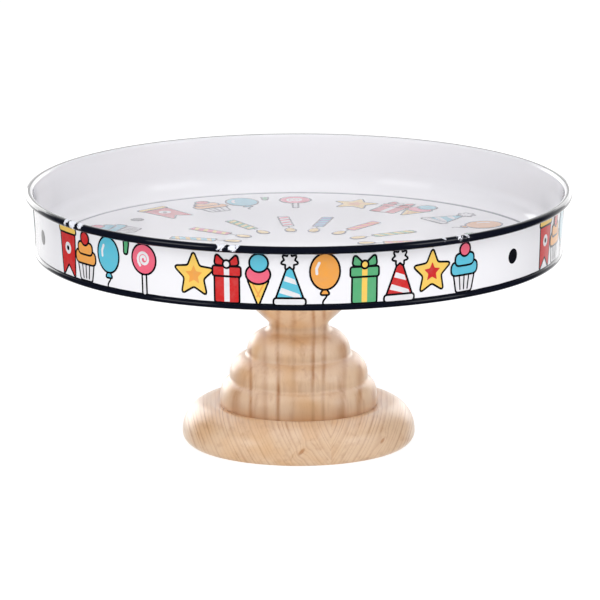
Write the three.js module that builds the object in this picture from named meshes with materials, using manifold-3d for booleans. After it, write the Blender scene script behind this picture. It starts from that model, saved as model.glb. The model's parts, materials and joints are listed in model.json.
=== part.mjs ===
// A party cake stand: a rimmed enamelled steel tray that screws onto a turned wooden pedestal.
// Millimetres, +Z up, origin at the middle of the underside, where the felt pad meets the table.

import * as THREE from 'three';
import { mergeVertices } from 'three/addons/utils/BufferGeometryUtils.js';
import Module from 'manifold-3d';

const wasm = await Module();
wasm.setup();

// ---- Driving dimensions -------------------------------------------------------------------

const GAP = 0.3; // clearance between pieces that touch

const RIM_OUTER_R = 152.5; // outermost radius, at the rolled rim
const TOTAL_HEIGHT = 144.5; // top of the rolled rim
const WIRE_R = 1.1; // wire inside the rolled rim
const CURL_SHEET = 0.8; // sheet where it is rolled round the wire
const CURL_END = -115; // degrees round the wire at which the rolled edge ends

const WALL = 0.9; // sheet thickness of the side band
const WALL_TOP_R = 148.0; // outer radius of the side band below the rim
const WALL_FOOT_R = 146.6; // outer radius of the side band above the bottom bead
const WALL_BEND_DROP = 5.5; // height below the rim over which the band leans out into the curl

const BEAD_R = 1.6; // half height of the rounded bead round the bottom of the band
const BEAD_CENTRE_R = 145.8;
const TRAY_BOTTOM = 108.2; // underside of the bottom bead
const LIP_INNER_R = 139.5; // inner edge of the lip that carries the floor pan
const LIP_BOTTOM = 109.7;

const FLOOR_TOP = 112.0; // cake surface
const FLOOR_SHEET = 1.0;
const FLAT_R = 138.0; // radius at which the flat floor runs into its coved edge
const PAN_EDGE = { r: 146.0, z: 124 }; // top of the coved edge, against the side band
const PAN_EDGE_SHEET = 0.4; // the cove thins towards its top edge

const PLATE_R = 29.5; // mounting plate under the floor
const PLATE_HOLE_R = 5;
const PLATE_SHEET = 1.5;

const NUT_R = 7;
const NUT_BORE_R = 4.25;
const NUT_CHAMFER = 0.8;
const NUT_TO_RECESS = 4; // depth left free under the nut
const THREAD_ENGAGED = 10; // travel over which the tray unscrews

const WASHER_INNER_R = 7.3;
const WASHER_OUTER_R = 27;
const WASHER_THICKNESS = 1.5;

const BOLT_R = 3.9; // M8 hanger bolt
const BOLT_CHAMFER = 0.8;
const BOLT_POINT = 3.2; // length of its tapered wood end
const BOLT_BOTTOM = 61;
const RECESS_R = 10; // pocket in the top of the stem that the nut drops into
const RECESS_DEPTH = 16;

const BASE_BOTTOM = 0.5; // wooden base stands this far above the table, on the felt
const BASE_TOP = 20.8; // flat that the stem stands on
const BASE_BOTTOM_R = 63.0;
const BASE_NOSE = { r: 65.2, z: 6.5 }; // widest place of the base
const BASE_CROWN = { r: 50, z: 22.2 }; // highest place of the base
const BASE_SHOULDER = { r: 42.8, z: BASE_TOP }; // where the base meets the stem
const BASE_SIDE_BULGE = 0.8;
const BASE_TOP_BULGE = 0.1;

const NECK = { r: 16.5, z: 67.2 };
const FLARE = { r: 29.5, z: 81 };
const FLARE_HOLLOW = 0.6;
const FLARE_BULGE = 1.6;
const STEM_TOP_BEAD = { r: 34.5, z: 95 };
const STEM_TOP_BULGE = 2;
const STEM_TOP_R = 30;

// The stem's three beads, lowest first: the crease under each, its widest place, the crease above.
const BEADS = [
  { foot: { r: 42.3, z: BASE_TOP + GAP }, widest: { r: 44.2, z: 24.2 }, crown: { r: 38.2, z: 35.3 } },
  { foot: { r: 38.2, z: 35.3 }, widest: { r: 38.8, z: 37.6 }, crown: { r: 27.6, z: 49.2 } },
  { foot: { r: 27.6, z: 49.2 }, widest: { r: 29.0, z: 51.0 }, crown: { r: 17.4, z: 62.6 } },
];

const DOWEL_R = 10;
const DOWEL_BOTTOM = 8.5;
const DOWEL_TOP = 36.3;
const DOWEL_CHAMFER = 1;

const PAD_R = 56.7; // felt pad let into the underside of the base
const PAD_THICKNESS = 1.7;

const SCREW_COUNT = 3;
const SCREW_CIRCLE_R = 27;
const SCREW_R = 2;
const SCREW_HEAD_R = 4;
const SCREW_HEAD_HEIGHT = 2.6;
const SCREW_HEAD_EDGE = 0.5;
const SCREW_POINT = 4;
const SCREW_TOP = 33;

const TRAY_SEGMENTS = 56;
const BASE_SEGMENTS = 48;
const STEM_SEGMENTS = 40;
const SMALL_SEGMENTS = 20;
const SCREW_SEGMENTS = 12;

const CUT_PAST = 1; // how far a cutter runs past the face it starts from

// ---- Derived dimensions -------------------------------------------------------------------

const CURL_R = WIRE_R + GAP + CURL_SHEET;
const CURL_CENTRE = { r: RIM_OUTER_R - CURL_R, z: TOTAL_HEIGHT - CURL_R };
const FLOOR_BOTTOM = FLOOR_TOP - FLOOR_SHEET;
const PLATE_TOP = FLOOR_BOTTOM - GAP;
const PLATE_BOTTOM = PLATE_TOP - PLATE_SHEET;
const WASHER_TOP = PLATE_BOTTOM - GAP;
const STEM_TOP = WASHER_TOP - WASHER_THICKNESS - GAP;
const STEM_BOTTOM = BASE_TOP + GAP;
const NUT_TOP = PLATE_BOTTOM - GAP;
const NUT_BOTTOM = STEM_TOP - RECESS_DEPTH + NUT_TO_RECESS;
const BOLT_TOP = NUT_BOTTOM + THREAD_ENGAGED;
const PAD_POCKET_TOP = PAD_THICKNESS + GAP;
const SCREW_HEAD_BOTTOM = PAD_POCKET_TOP + GAP;

// ---- Materials ----------------------------------------------------------------------------

const material = (color, roughness, metalness = 0) =>
  new THREE.MeshStandardMaterial({ color, roughness, metalness });

const FINISHES = {
  enamel: () => material(0xf1f0f4, 0.25),
  wire: () => material(0x8d9094, 0.45, 1),
  steel: () => material(0xa8abae, 0.4, 1),
  zinc: () => material(0xc2c4c6, 0.35, 1),
  rubber: () => material(0x1c1c1e, 0.8),
  pine: () => material(0xdfc09a, 0.6),
  beech: () => material(0xcfae82, 0.7),
  felt: () => material(0x2b2724, 0.95),
};

// ---- Outline helpers: every outline runs anticlockwise in the (radius, height) plane --------

const point = (r, z) => new THREE.Vector2(r, z);

// Points on an ellipse round a centre, from one angle to another in degrees.
function arc(centre, radiusR, radiusZ, from, to, steps) {
  const points = [];
  for (let i = 0; i <= steps; i += 1) {
    const angle = THREE.MathUtils.degToRad(from + ((to - from) * i) / steps);
    points.push(point(centre.r + radiusR * Math.cos(angle), centre.z + radiusZ * Math.sin(angle)));
  }
  return points;
}

const roundArc = (centre, radius, from, to, steps) => arc(centre, radius, radius, from, to, steps);

// Points on a curve that bulges past the straight line between two places by the given depth.
function bulge(from, to, depth, steps) {
  const middle = { r: (from.r + to.r) / 2, z: (from.z + to.z) / 2 };
  const length = Math.hypot(to.r - from.r, to.z - from.z);
  const out = { r: (to.z - from.z) / length, z: (from.r - to.r) / length };
  const control = point(middle.r + 2 * depth * out.r, middle.z + 2 * depth * out.z);
  return new THREE.QuadraticBezierCurve(point(from.r, from.z), control, point(to.r, to.z)).getPoints(steps);
}

// One turned bead, from the crease under it, round its widest place, to the crease above it.
function bead({ foot, widest, crown }, steps) {
  const tuck = arc({ r: foot.r, z: widest.z }, widest.r - foot.r, widest.z - foot.z, -90, 0, 2);
  const shoulder = arc({ r: crown.r, z: widest.z }, widest.r - crown.r, crown.z - widest.z, 0, 90, steps);
  return [...tuck, ...shoulder.slice(1)];
}

// A shape turned from an outline.
function lathe(outline, segments) {
  const distinct = outline.filter((p, i) => i === 0 || p.distanceTo(outline[i - 1]) > 1e-6);
  return new THREE.LatheGeometry(distinct, segments).rotateX(Math.PI / 2);
}

function named(name, geometry, finish) {
  const mesh = new THREE.Mesh(geometry, FINISHES[finish]());
  mesh.name = name;
  return mesh;
}

const turned = (name, outline, segments, finish) => named(name, lathe(outline, segments), finish);

// An outline that closes on itself, for a ring.
const closed = (outline) => [...outline, outline[0].clone()];

// A plain ring of rectangular section.
const ring = (innerR, outerR, bottom, top) =>
  closed([point(innerR, bottom), point(outerR, bottom), point(outerR, top), point(innerR, top)]);

// ---- Cutting holes --------------------------------------------------------------------------

function toSolid(geometry) {
  const plain = geometry.clone();
  plain.deleteAttribute('normal');
  plain.deleteAttribute('uv');
  const merged = mergeVertices(plain);
  const vertProperties = new Float32Array(merged.attributes.position.array);
  const triVerts = new Uint32Array(merged.index.array);
  return new wasm.Manifold(new wasm.Mesh({ numProp: 3, vertProperties, triVerts }));
}

function toGeometry(solid) {
  const { vertProperties, triVerts } = solid.getMesh();
  const geometry = new THREE.BufferGeometry();
  geometry.setAttribute('position', new THREE.BufferAttribute(vertProperties, 3));
  geometry.setIndex(new THREE.BufferAttribute(triVerts, 1));
  return geometry;
}

// The geometry with every cutter taken out of it.
function drilled(geometry, cutters) {
  const cut = cutters.reduce((solid, cutter) => solid.subtract(toSolid(cutter)), toSolid(geometry));
  return toGeometry(cut);
}

// ---- Tray ---------------------------------------------------------------------------------

// Hoop whose top edge is rolled out over a wire, with a rounded bead and an inward lip below.
function sideBand() {
  const bendZ = CURL_CENTRE.z - WALL_BEND_DROP;
  const beadCentre = { r: BEAD_CENTRE_R, z: TRAY_BOTTOM + BEAD_R };
  const beadTop = THREE.MathUtils.radToDeg(Math.acos((WALL_FOOT_R - BEAD_CENTRE_R) / BEAD_R));
  const lipMeets = THREE.MathUtils.radToDeg(Math.asin((LIP_BOTTOM - beadCentre.z) / BEAD_R));
  const outline = [
    point(LIP_INNER_R, LIP_BOTTOM),
    ...roundArc(beadCentre, BEAD_R, -180 - lipMeets, beadTop, 8),
    point(WALL_TOP_R, bendZ),
    ...roundArc(CURL_CENTRE, CURL_R - CURL_SHEET, 180, CURL_END, 9),
    ...roundArc(CURL_CENTRE, CURL_R, CURL_END, 180, 10),
    point(WALL_TOP_R - WALL, bendZ),
    point(WALL_FOOT_R - WALL, FLOOR_BOTTOM - GAP),
    point(LIP_INNER_R, FLOOR_BOTTOM - GAP),
  ];
  return turned('side_band', closed(outline), TRAY_SEGMENTS, 'enamel');
}

// Wire that stiffens the rolled rim.
function rimWire() {
  return turned('rim_wire', closed(roundArc(CURL_CENTRE, WIRE_R, -180, 135, 7)), TRAY_SEGMENTS, 'wire');
}

// Floor with a coved edge that stands up inside the side band.
function floorPan() {
  const coveCentre = { r: FLAT_R, z: PAN_EDGE.z };
  const reach = PAN_EDGE.r - FLAT_R;
  const outline = [
    point(0, FLOOR_BOTTOM),
    ...arc(coveCentre, reach, PAN_EDGE.z - FLOOR_BOTTOM, -90, 0, 6),
    ...arc(coveCentre, reach - PAN_EDGE_SHEET, PAN_EDGE.z - FLOOR_TOP, 0, -90, 6),
    point(0, FLOOR_TOP),
  ];
  return turned('floor_pan', outline, TRAY_SEGMENTS, 'enamel');
}

// Steel disc welded under the floor, which spreads the pull of the nut.
function mountingPlate() {
  const outline = ring(PLATE_HOLE_R, PLATE_R, PLATE_BOTTOM, PLATE_TOP);
  return turned('mounting_plate', outline, STEM_SEGMENTS, 'steel');
}

// Threaded barrel welded to the mounting plate.
function barrelNut() {
  const outline = [
    point(NUT_BORE_R, NUT_BOTTOM),
    point(NUT_R - NUT_CHAMFER, NUT_BOTTOM),
    point(NUT_R, NUT_BOTTOM + NUT_CHAMFER),
    point(NUT_R, NUT_TOP),
    point(NUT_BORE_R, NUT_TOP),
  ];
  return turned('barrel_nut', closed(outline), SMALL_SEGMENTS, 'zinc');
}

// ---- Washer between tray and stem -----------------------------------------------------------

function rubberWasher() {
  const outline = ring(WASHER_INNER_R, WASHER_OUTER_R, WASHER_TOP - WASHER_THICKNESS, WASHER_TOP);
  return turned('rubber_washer', outline, STEM_SEGMENTS, 'rubber');
}

// ---- Pedestal -----------------------------------------------------------------------------

// Countersunk screw, or with a clearance the hole that it goes in.
function screwShape(clearance) {
  const headBottom = clearance ? PAD_POCKET_TOP - CUT_PAST : SCREW_HEAD_BOTTOM;
  const shank = SCREW_R + clearance;
  const head = SCREW_HEAD_R + clearance;
  const outline = [
    point(0, headBottom),
    point(head, headBottom),
    point(head, SCREW_HEAD_BOTTOM + SCREW_HEAD_EDGE),
    point(shank, SCREW_HEAD_BOTTOM + SCREW_HEAD_HEIGHT),
    point(shank, SCREW_TOP - SCREW_POINT),
    point(0, SCREW_TOP + clearance),
  ];
  return lathe(outline, SCREW_SEGMENTS);
}

// The same geometry at each of the screw positions.
function atScrews(geometry) {
  return Array.from({ length: SCREW_COUNT }, (_, i) => {
    const angle = (2 * Math.PI * i) / SCREW_COUNT + Math.PI / 2;
    return geometry.clone().translate(SCREW_CIRCLE_R * Math.cos(angle), SCREW_CIRCLE_R * Math.sin(angle), 0);
  });
}

const screwHoles = () => atScrews(screwShape(GAP));

const baseScrews = () => atScrews(screwShape(0)).map((g, i) => named(`base_screw_${i + 1}`, g, 'zinc'));

// Flare from the neck up to the wide bead that carries the tray.
function stemFlare() {
  const hollow = bulge(NECK, FLARE, -FLARE_HOLLOW, 4);
  const shoulder = bulge(FLARE, STEM_TOP_BEAD, FLARE_BULGE, 4);
  const top = bulge(STEM_TOP_BEAD, { r: STEM_TOP_R, z: STEM_TOP }, STEM_TOP_BULGE, 4);
  return [...hollow, ...shoulder, ...top];
}

// Turned stem: three stepped beads, a neck and a flared top, bored at both ends.
function stem() {
  const outline = [
    point(0, DOWEL_TOP + GAP),
    point(DOWEL_R + GAP, DOWEL_TOP + GAP),
    point(DOWEL_R + GAP, STEM_BOTTOM),
    ...BEADS.flatMap((b) => bead(b, 4)),
    ...stemFlare(),
    point(RECESS_R, STEM_TOP),
    point(RECESS_R, STEM_TOP - RECESS_DEPTH),
    point(BOLT_R + GAP, STEM_TOP - RECESS_DEPTH),
    point(BOLT_R + GAP, BOLT_BOTTOM - GAP),
    point(0, BOLT_BOTTOM - GAP),
  ];
  return named('stem', drilled(lathe(outline, STEM_SEGMENTS), screwHoles()), 'pine');
}

// Round base with a bullnose edge, a pocket for the felt below and holes for dowel and screws.
function base() {
  const crownCentre = { r: BASE_CROWN.r, z: BASE_NOSE.z };
  const outline = [
    point(0, PAD_POCKET_TOP),
    point(PAD_R + GAP, PAD_POCKET_TOP),
    point(PAD_R + GAP, BASE_BOTTOM),
    ...bulge({ r: BASE_BOTTOM_R, z: BASE_BOTTOM }, BASE_NOSE, BASE_SIDE_BULGE, 3),
    ...arc(crownCentre, BASE_NOSE.r - BASE_CROWN.r, BASE_CROWN.z - BASE_NOSE.z, 0, 90, 7),
    ...bulge(BASE_CROWN, BASE_SHOULDER, BASE_TOP_BULGE, 3),
    point(DOWEL_R + GAP, BASE_TOP),
    point(DOWEL_R + GAP, DOWEL_BOTTOM - GAP),
    point(0, DOWEL_BOTTOM - GAP),
  ];
  return named('base', drilled(lathe(outline, BASE_SEGMENTS), screwHoles()), 'pine');
}

function centreDowel() {
  const outline = [
    point(0, DOWEL_BOTTOM),
    point(DOWEL_R - DOWEL_CHAMFER, DOWEL_BOTTOM),
    point(DOWEL_R, DOWEL_BOTTOM + DOWEL_CHAMFER),
    point(DOWEL_R, DOWEL_TOP - DOWEL_CHAMFER),
    point(DOWEL_R - DOWEL_CHAMFER, DOWEL_TOP),
    point(0, DOWEL_TOP),
  ];
  return turned('centre_dowel', outline, SMALL_SEGMENTS, 'beech');
}

// Stud fixed in the stem, whose machine thread takes the nut.
function hangerBolt() {
  const outline = [
    point(0, BOLT_BOTTOM),
    point(BOLT_CHAMFER, BOLT_BOTTOM),
    point(BOLT_R, BOLT_BOTTOM + BOLT_POINT),
    point(BOLT_R, BOLT_TOP - BOLT_CHAMFER),
    point(BOLT_R - BOLT_CHAMFER, BOLT_TOP),
    point(0, BOLT_TOP),
  ];
  return turned('hanger_bolt', outline, SMALL_SEGMENTS, 'zinc');
}

function feltPad() {
  const outline = [point(0, 0), point(PAD_R, 0), point(PAD_R, PAD_THICKNESS), point(0, PAD_THICKNESS)];
  return turned('felt_pad', outline, BASE_SEGMENTS, 'felt');
}

const tray = new THREE.Group();
tray.add(sideBand(), rimWire(), floorPan(), mountingPlate(), barrelNut());

const pedestal = new THREE.Group();
pedestal.add(stem(), base(), centreDowel(), hangerBolt(), ...baseScrews(), feltPad());

const cakeStand = new THREE.Group();
cakeStand.add(tray, rubberWasher(), pedestal);

export default cakeStand;
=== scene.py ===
"""An enamelled party tray on a turned pine pedestal: meshes, printed motifs, finishes and a studio stage."""

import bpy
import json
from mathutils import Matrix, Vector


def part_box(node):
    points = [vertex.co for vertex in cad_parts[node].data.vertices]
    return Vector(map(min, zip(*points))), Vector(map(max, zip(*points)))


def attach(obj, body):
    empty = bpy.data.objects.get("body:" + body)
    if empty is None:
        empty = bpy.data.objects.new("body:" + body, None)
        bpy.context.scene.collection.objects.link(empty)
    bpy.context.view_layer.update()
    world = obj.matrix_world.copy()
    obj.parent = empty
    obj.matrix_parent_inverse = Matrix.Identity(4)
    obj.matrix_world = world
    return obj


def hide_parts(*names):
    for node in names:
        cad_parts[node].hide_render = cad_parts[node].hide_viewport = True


bl_info = {
    "name": "Cake Stand",
    "version": (1, 0, 0),
    "blender": (4, 5, 0),
    "location": "3D View > Sidebar > Cake Stand",
    "description": "Enamelled party tray with printed motifs on a turned pine pedestal",
    "category": "Add Mesh",
}

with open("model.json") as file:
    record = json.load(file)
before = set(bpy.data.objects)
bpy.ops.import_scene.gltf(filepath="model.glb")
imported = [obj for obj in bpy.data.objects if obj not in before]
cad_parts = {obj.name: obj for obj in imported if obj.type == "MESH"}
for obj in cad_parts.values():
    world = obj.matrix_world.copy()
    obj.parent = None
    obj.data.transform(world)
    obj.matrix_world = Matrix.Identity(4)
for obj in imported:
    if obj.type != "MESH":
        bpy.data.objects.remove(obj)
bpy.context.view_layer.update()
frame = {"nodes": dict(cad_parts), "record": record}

import json
import math

import bpy
from bpy.props import FloatProperty, FloatVectorProperty, PointerProperty
from mathutils import Matrix, Vector
from mathutils.geometry import delaunay_2d_cdt

MM = 0.001
ON_AXIS = 1e-7  # a radius under this is a point on the axis

# ---- Places that come from the frame --------------------------------------------------------

BAND_LOW, BAND_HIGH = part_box("side_band")
PAN_LOW, PAN_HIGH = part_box("floor_pan")
PLATE_LOW, PLATE_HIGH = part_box("mounting_plate")
NUT_LOW, NUT_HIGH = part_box("barrel_nut")
WASHER_LOW, WASHER_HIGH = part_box("rubber_washer")
STEM_LOW, STEM_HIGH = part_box("stem")
BASE_LOW, BASE_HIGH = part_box("base")
BOLT_LOW, BOLT_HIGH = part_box("hanger_bolt")
FELT_LOW, FELT_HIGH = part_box("felt_pad")
MOUNTS = {mount["name"]: mount for mount in frame["record"]["mounts"]}
CAKE_SURFACE = MOUNTS["cake_surface"]["pos_m"][2]


# ---- Settings -------------------------------------------------------------------------------


def length(name, description, default):
    """A length property, in metres."""
    return FloatProperty(name=name, description=description, default=default, unit="LENGTH", precision=5)


def angle(name, description, degrees):
    """An angle property."""
    return FloatProperty(name=name, description=description, default=math.radians(degrees), subtype="ANGLE")


def colour(name, description, default):
    """A colour property."""
    return FloatVectorProperty(
        name=name, description=description, default=default, size=3, min=0, max=1, subtype="COLOR"
    )


class CakeStandTray(bpy.types.PropertyGroup):
    rim_radius: length("Rim radius", "Outermost radius of the rolled rim", BAND_HIGH.x)
    rim_top: length("Rim top", "Height of the rolled rim above the table", BAND_HIGH.z)
    bottom: length("Tray bottom", "Height of the bottom bead above the table", BAND_LOW.z)
    curl: length("Curl radius", "Radius of the rolled edge round its wire", 2.2 * MM)
    sheet: length("Sheet", "Thickness of the enamelled sheet", 0.8 * MM)
    wall_top: length("Wall top radius", "Outer radius of the wall below the rim", 148.0 * MM)
    wall_foot: length("Wall foot radius", "Outer radius of the wall above the bottom bead", 146.6 * MM)
    wall_bend: length("Wall bend", "Height below the rim's middle where the wall bends outward", 5.5 * MM)
    bead: length("Bead radius", "Half height of the bottom bead", 1.6 * MM)
    bead_centre: length("Bead centre", "Radius of the ring through the bead's centre", 145.8 * MM)
    lip: length("Lip radius", "Inner radius of the lip under the floor", 139.5 * MM)
    flat: length("Flat radius", "Radius at which the flat floor runs into its coved edge", 138 * MM)
    groove: length("Groove depth", "Depth of the line pressed round the flat floor", 0.12 * MM)


class CakeStandPedestal(bpy.types.PropertyGroup):
    neck_radius: length("Neck radius", "Radius of the narrow neck", 16.2 * MM)
    neck_height: length("Neck height", "Height of the neck above the table", 68.0 * MM)
    crease: length("Crease reach", "How far the corners between the beads are softened", 2.1 * MM)
    thread_pitch: length("Thread pitch", "Pitch of the hanger bolt's thread", 1.25 * MM)
    thread_depth: length("Thread depth", "Depth of the hanger bolt's thread", 0.6 * MM)


class CakeStandInks(bpy.types.PropertyGroup):
    red: colour("Red", "Red ink", (0.62, 0.022, 0.022))
    orange: colour("Orange", "Orange ink", (0.86, 0.37, 0.075))
    yellow: colour("Yellow", "Yellow ink", (0.92, 0.60, 0.12))
    green: colour("Green", "Green ink", (0.10, 0.42, 0.19))
    cyan: colour("Cyan", "Cyan ink", (0.11, 0.52, 0.68))
    pink: colour("Pink", "Pink ink", (0.84, 0.13, 0.21))
    violet: colour("Violet", "Violet ink", (0.25, 0.20, 0.50))
    black: colour("Black", "Outline ink", (0.004, 0.004, 0.006))
    white: colour("White", "White ink", (0.80, 0.79, 0.82))
    outline: length("Outline", "Width of the black outline round a motif", 1.05 * MM)
    film: length("Film", "Thickness of one layer of ink", 0.022 * MM)
    # Painted glare: this share mixes the floor's inks toward white ink, painted in place of glare on the
    # glaze.
    floor_paleness: FloatProperty(
        name="Floor paleness", description="How far the floor's inks have paled under the glaze", default=0.3
    )


class CakeStandFinish(bpy.types.PropertyGroup):
    enamel_white: colour("White enamel", "White enamel of the tray", (0.87, 0.862, 0.893))
    pan_white: colour("Pan enamel", "White enamel of the tray's floor", (0.89, 0.882, 0.912))
    enamel_black: colour("Black enamel", "Enamel of the rim and the bottom bead", (0.004, 0.005, 0.011))
    bare_spot: colour("Chipped enamel", "Ground coat where the enamel is chipped", (0.80, 0.81, 0.88))
    early_wood: colour("Early wood", "Pale wood between the growth rings", (0.87, 0.62, 0.41))
    late_wood: colour("Late wood", "Darker wood of the growth rings", (0.50, 0.215, 0.07))
    amber_wood: colour("Amber wood", "Resinous patches in the wood", (0.78, 0.41, 0.13))
    stem_rings: length("Stem ring spacing", "Distance between growth rings in the stem", 8.5 * MM)
    base_rings: length("Base ring spacing", "Distance between growth rings in the base", 2.1 * MM)
    felt: colour("Felt", "Felt under the base", (0.035, 0.032, 0.03))


class CakeStandStage(bpy.types.PropertyGroup):
    distance: length("Camera distance", "Distance from the camera to the middle of the rim", 3.607)
    elevation: angle("Elevation", "Angle from the rim up to the camera", 12.12)
    pitch: angle("Pitch", "Downward tilt of the camera", 13.08)
    yaw: angle("Yaw", "Turn of the camera to the right", 0.012)
    lens: FloatProperty(name="Lens", description="Focal length in millimetres", default=388.0)
    surround: FloatProperty(name="Surround", description="Brightness of the studio", default=1.0)
    floor_size: length("Floor size", "Half width of the floor", 8.0)


PROPERTY_GROUPS = {
    "cake_stand_tray": CakeStandTray,
    "cake_stand_pedestal": CakeStandPedestal,
    "cake_stand_inks": CakeStandInks,
    "cake_stand_finish": CakeStandFinish,
    "cake_stand_stage": CakeStandStage,
}

# ---- Outlines in the (radius, height) plane -------------------------------------------------


def arc(centre, radius_r, radius_z, start, end, steps):
    """Points on an ellipse round a centre, from one angle to another in degrees."""
    points = []
    for i in range(steps + 1):
        angle = math.radians(start + (end - start) * i / steps)
        points.append((centre[0] + radius_r * math.cos(angle), centre[1] + radius_z * math.sin(angle)))
    return points


def circle_arc(centre, radius, start, end, steps):
    """Points on a circle round a centre, from one angle to another in degrees."""
    return arc(centre, radius, radius, start, end, steps)


def curve(start, control, end, steps):
    """A curve between two places that leans towards a third."""
    ts = [k / steps for k in range(steps + 1)]
    return [tuple(start * (1 - t) ** 2 + control * 2 * t * (1 - t) + end * t * t) for t in ts]


def rounded_side(radius, low, high, edge):
    """The outside of a flat disc, from its bottom face to its top face, with both edges rounded."""
    lower = circle_arc((radius - edge, low + edge), edge, -90, 0, 4)
    return lower + circle_arc((radius - edge, high - edge), edge, 0, 90, 4)


def bulge(start, end, depth, steps):
    """A curve that swells by the given depth past the straight line between two places."""
    start, end = Vector(start), Vector(end)
    out = Vector((end.y - start.y, start.x - end.x)).normalized()
    return curve(start, (start + end) / 2 + out * 2 * depth, end, steps)


def softened(points, corners, reach, steps=8):
    """The outline with the inner corners nearest to some places filled out over a reach to each side."""
    points = [Vector(p) for p in points]
    for corner in corners:
        i = min(range(len(points)), key=lambda k: (points[k] - Vector(corner)).length)
        start, here, end = i - 1, points[i], i + 1
        while (points[start] - here).length < reach:
            start -= 1
        while (points[end] - here).length < reach:
            end += 1
        filled = curve(points[start], here, points[end], steps)
        points[start : end + 1] = [Vector(p) for p in filled]
    return [tuple(p) for p in points]


# ---- Meshes ---------------------------------------------------------------------------------


def add_mesh(name, vertices, faces, materials, face_slots=None, sharp_angle=38):
    """A smooth-shaded object from vertices and faces, with sharp edges kept."""
    mesh = bpy.data.meshes.new(name)
    mesh.from_pydata(vertices, [], faces)
    for material in materials:
        mesh.materials.append(material)
    if face_slots:
        mesh.polygons.foreach_set("material_index", face_slots)
    mesh.validate()
    mesh.shade_smooth()
    mesh.set_sharp_from_angle(angle=math.radians(sharp_angle))
    piece = bpy.data.objects.new(name, mesh)
    bpy.context.scene.collection.objects.link(piece)
    return piece


def circle(radius, height, segments):
    """Places round a circle on the axis."""
    turns = [2 * math.pi * k / segments for k in range(segments)]
    return [(radius * math.cos(turn), radius * math.sin(turn), height) for turn in turns]


def bands(rows):
    """Faces from each row of vertices to the next, with none where both rows are one vertex."""
    faces = []
    for low, high in zip(rows, rows[1:]):
        for k, here in enumerate(low):
            n = (k + 1) % len(low)
            corners = [here, low[n], high[n], high[k]]
            kept = [v for i, v in enumerate(corners) if v != corners[i - 1]]
            if len(kept) > 2:
                faces.append(kept)
    return faces


def turned(name, outline, segments, materials, ring=False, swell=None):
    """A solid turned from an outline: a ring whose outline closes, or a solid that meets the axis."""
    vertices, rows = [], []
    for radius, height in outline:
        if radius < ON_AXIS:
            rows.append([len(vertices)] * segments)
            vertices.append((0, 0, height))
            continue
        rows.append(range(len(vertices), len(vertices) + segments))
        for k in range(segments):
            angle = 2 * math.pi * k / segments
            out = radius + (swell(angle, radius) if swell else 0)
            vertices.append((out * math.cos(angle), out * math.sin(angle), height))
    return add_mesh(name, vertices, bands(rows + rows[:1] if ring else rows), materials)


def thread(start, depth, pitch, low, high, segments, rows_per_turn=8):
    """Rows of vertices for a helical thread out from a radius, or in from it where the depth is below 0."""
    vertices, rows = [], []
    steps = round((high - low) / pitch * rows_per_turn)
    for j in range(steps + 1):
        height = low + (high - low) * j / steps
        taper = min(1.0, (high - height) / abs(2 * depth), (height - low) / abs(2 * depth))
        rows.append(range(len(vertices), len(vertices) + segments))
        for k in range(segments):
            angle = 2 * math.pi * k / segments
            phase = (height / pitch - k / segments) % 1
            radius = start + depth * taper * (1 - abs(2 * phase - 1))
            vertices.append((radius * math.cos(angle), radius * math.sin(angle), height))
    return vertices, rows


# ---- Printed motifs: outlines in millimetres, x to the right and y up -----------------------
# Every drawing takes an ink and an accent, so that a run can list them alike.


def disc(x, y, radius_x, radius_y=None, points=26):
    """An ellipse."""
    radius_y = radius_x if radius_y is None else radius_y
    return [
        (x + radius_x * math.cos(2 * math.pi * i / points), y + radius_y * math.sin(2 * math.pi * i / points))
        for i in range(points)
    ]


def rounded(corners, radius, steps=4):
    """A polygon with rounded corners."""
    result = []
    for i, corner in enumerate(corners):
        here = Vector(corner)
        back = Vector(corners[i - 1]) - here
        forth = Vector(corners[(i + 1) % len(corners)]) - here
        reach = min(radius, back.length * 0.45, forth.length * 0.45)
        result += curve(here + back.normalized() * reach, here, here + forth.normalized() * reach, steps)
    return result


def box(x, y, half_width, half_height, radius=0.8):
    """A rectangle with rounded corners round a middle."""
    corners = [(-1, -1), (1, -1), (1, 1), (-1, 1)]
    return rounded([(x + half_width * i, y + half_height * j) for i, j in corners], radius)


def stroke(path, width):
    """A line of even width along a path, with round ends."""
    half = width / 2
    points = [Vector(p) for p in path]
    left, right = [], []
    for i, here in enumerate(points):
        along = (points[min(i + 1, len(points) - 1)] - points[max(i - 1, 0)]).normalized()
        side = Vector((-along.y, along.x)) * half
        left.append(here + side)
        right.append(here - side)
    caps = []
    for tip, before in ((points[-1], points[-2]), (points[0], points[1])):
        along = math.atan2(*(tip - before).yx)
        turns = [along + math.pi * (k / 6 - 0.5) for k in range(1, 6)]
        caps.append([tip + Vector((math.cos(turn), math.sin(turn))) * half for turn in turns])
    return [tuple(p) for p in right + caps[0] + left[::-1] + caps[1]]


def wave(x, top, bottom, swing, turns, steps=18):
    """A wavy line that runs down from a place."""
    return [
        (x + swing * math.sin(2 * math.pi * turns * i / steps), top + (bottom - top) * i / steps)
        for i in range(steps + 1)
    ]


def star_shape(x, y, outer, inner, arms=5, soften=1.1):
    """A star with rounded tips."""
    corners = []
    for i in range(2 * arms):
        angle = math.pi / 2 + math.pi * i / arms
        radius = outer if i % 2 == 0 else inner
        corners.append((x + radius * math.cos(angle), y + radius * math.sin(angle)))
    return rounded(corners, soften)


def grown(outline, by):
    """The outline pushed outward by an even distance."""
    points = [Vector(p) for p in outline]
    area = sum(a.x * b.y - b.x * a.y for a, b in zip(points, points[1:] + points[:1]))
    turn = 1 if area > 0 else -1
    result = []
    for i, here in enumerate(points):
        back = (here - points[i - 1]).normalized()
        forth = (points[(i + 1) % len(points)] - here).normalized()
        normal = Vector((back.y + forth.y, -back.x - forth.x)) * turn
        if normal.length < 1e-6:
            continue
        normal.normalize()
        lean = max(0.6, normal.dot(Vector((back.y, -back.x)) * turn))
        result.append(tuple(here + normal * by / lean))
    return result


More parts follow.
